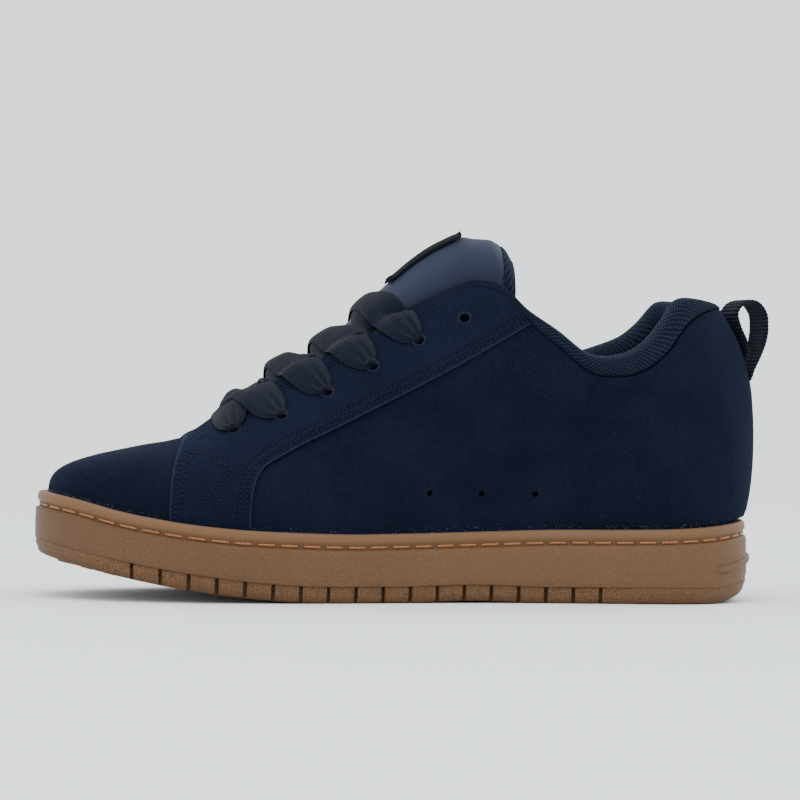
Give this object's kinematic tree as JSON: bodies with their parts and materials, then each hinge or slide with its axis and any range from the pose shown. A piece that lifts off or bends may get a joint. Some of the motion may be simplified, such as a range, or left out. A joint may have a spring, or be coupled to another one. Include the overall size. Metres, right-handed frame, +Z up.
{
  "type": "skateboarding shoe",
  "caption": "Low padded skateboarding shoe for the right foot: hollow suede upper, eyestay overlay, puffy tongue, flat laces, heel pull loop and cupped rubber sole.",
  "frame": {"origin": "bottom centre of the shoe's bounding box, on the floor plane", "axes": "+X along the sole towards the heel, toe towards -X, medial side towards -Y, +Z up"},
  "size_m": [0.3112, 0.116, 0.1546],
  "materials": {
    "nubuck": "matt brushed nap",
    "nubuck_overlay": "matt brushed nap",
    "gum_rubber": "satin moulded gum rubber",
    "footbed_fabric": "matt brushed knit",
    "mesh_lining": "matt open knit mesh",
    "tongue_textile": "smooth satin textile",
    "label_weave": "matt fine weave",
    "loop_webbing": "ribbed webbing",
    "lace_weave": "flat diagonal weave"
  },
  "bodies": {
    "root": {"cup_sole": "gum_rubber", "insole": "footbed_fabric", "upper": "nubuck", "eyestay": "nubuck_overlay", "collar_lining": "mesh_lining", "tongue": "tongue_textile", "tongue_label": "label_weave", "heel_loop": "loop_webbing", "lace_row_1": "lace_weave", "lace_row_2": "lace_weave", "lace_row_3": "lace_weave", "lace_row_4": "lace_weave", "lace_row_5": "lace_weave"}
  },
  "joints": []
}
